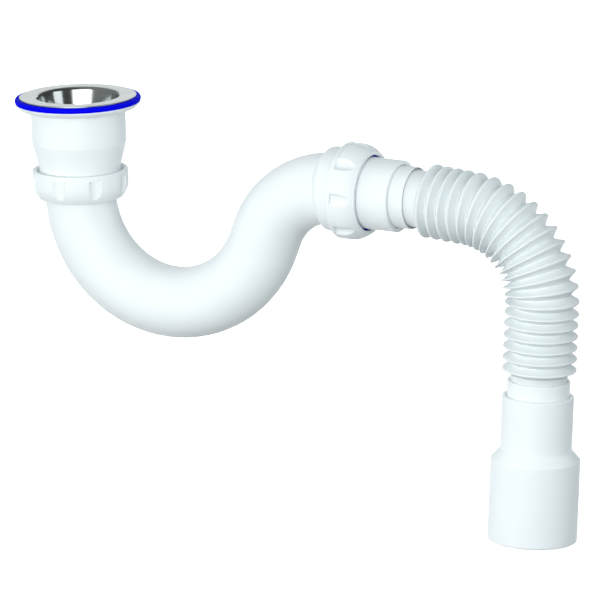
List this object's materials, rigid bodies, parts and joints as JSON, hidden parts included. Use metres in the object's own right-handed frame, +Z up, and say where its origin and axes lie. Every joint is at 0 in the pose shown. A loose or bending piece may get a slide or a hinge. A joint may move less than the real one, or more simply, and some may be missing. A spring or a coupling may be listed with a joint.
{
  "type": "corrugated sink trap",
  "caption": "Basin waste with a perforated strainer cup, an S-shaped trap bend on union nuts, and a corrugated outlet hose with a stepped push-fit coupling.",
  "frame": {"origin": "on the inlet axis, in the plane where the strainer flange meets the gasket and the basin is clamped", "axes": "+Z up out of the basin along the inlet axis, +X towards the outlet, in the plane of the bends"},
  "size_m": [0.3428, 0.0712, 0.2382],
  "materials": {
    "white_plastic": "smooth satin white moulded polypropylene",
    "hose_plastic": "thin satin white blown polypropylene",
    "blue_rubber": "smooth bright blue rubber",
    "polished_steel": "pressed and polished stainless sheet",
    "brass": "turned brass"
  },
  "bodies": {
    "waste": {"waste_body": "white_plastic", "threaded_insert": "brass", "basin_gasket": "blue_rubber"},
    "strainer": {"strainer_cup": "polished_steel"},
    "centre_screw": {"strainer_screw": "polished_steel"},
    "inlet_seal_ring": {"inlet_seal": "blue_rubber"},
    "inlet_union_nut": {"inlet_nut": "white_plastic"},
    "bend": {"trap_bend": "white_plastic"},
    "outlet_seal_ring": {"outlet_seal": "blue_rubber"},
    "outlet_union_nut": {"outlet_nut": "white_plastic"},
    "sleeve": {"outlet_sleeve": "white_plastic"},
    "hose": {"upper_collar": "white_plastic", "upper_hose_seal": "blue_rubber", "corrugated_hose": "hose_plastic"},
    "hose_end": {"lower_collar": "white_plastic", "lower_hose_seal": "blue_rubber"},
    "coupling": {"end_coupling": "white_plastic"}
  },
  "joints": [
    {"name": "strainer_lift", "type": "slide", "parent": "waste", "child": "strainer", "axis": [0, 0, 1], "range_m": [0, 0.008]},
    {"name": "screw_turn", "type": "hinge", "parent": "strainer", "child": "centre_screw", "pos_m": [0, 0, 0], "axis": [0, 0, 1], "range_deg": [0, 2880]},
    {"name": "inlet_seal_drop", "type": "slide", "parent": "waste", "child": "inlet_seal_ring", "axis": [0, 0, -1], "range_m": [0, 0.00693]},
    {"name": "inlet_nut_turn", "type": "hinge", "parent": "inlet_seal_ring", "child": "inlet_union_nut", "pos_m": [0, 0, -0.0529], "axis": [0, 0, -1], "range_deg": [0, 1080]},
    {"name": "bend_swivel", "type": "hinge", "parent": "waste", "child": "bend", "pos_m": [0, 0, -0.0529], "axis": [0, 0, 1], "continuous": true},
    {"name": "outlet_seal_slide", "type": "slide", "parent": "bend", "child": "outlet_seal_ring", "axis": [0.9989, 0, -0.0471], "range_m": [0, 0.00693]},
    {"name": "outlet_nut_turn", "type": "hinge", "parent": "outlet_seal_ring", "child": "outlet_union_nut", "pos_m": [0.1699, 0, -0.04312], "axis": [0.9989, 0, -0.0471], "range_deg": [0, 1080]},
    {"name": "sleeve_pull", "type": "slide", "parent": "bend", "child": "sleeve", "axis": [0.9989, 0, -0.0471], "range_m": [0, 0.008]},
    {"name": "hose_swivel", "type": "hinge", "parent": "sleeve", "child": "hose", "pos_m": [0.20087, 0, -0.04458], "axis": [0.9989, 0, -0.0471], "continuous": true},
    {"name": "hose_flex", "type": "hinge", "parent": "hose", "child": "hose_end", "pos_m": [0.2716, 0, -0.06899], "axis": [0, 1, 0], "range_deg": [-20, 25], "deforming": ["corrugated_hose"]},
    {"name": "coupling_swivel", "type": "hinge", "parent": "hose_end", "child": "coupling", "pos_m": [0.28208, 0, -0.1526], "axis": [-0.0793, 0, -0.9968], "continuous": true}
  ],
  "couplings": [
    {"joint": "screw_turn", "follows": "strainer_lift", "rad_per_m": 6283.2},
    {"joint": "inlet_seal_drop", "follows": "inlet_nut_turn", "m_per_rad": 0.00036749},
    {"joint": "outlet_seal_slide", "follows": "outlet_nut_turn", "m_per_rad": 0.00036749}
  ]
}
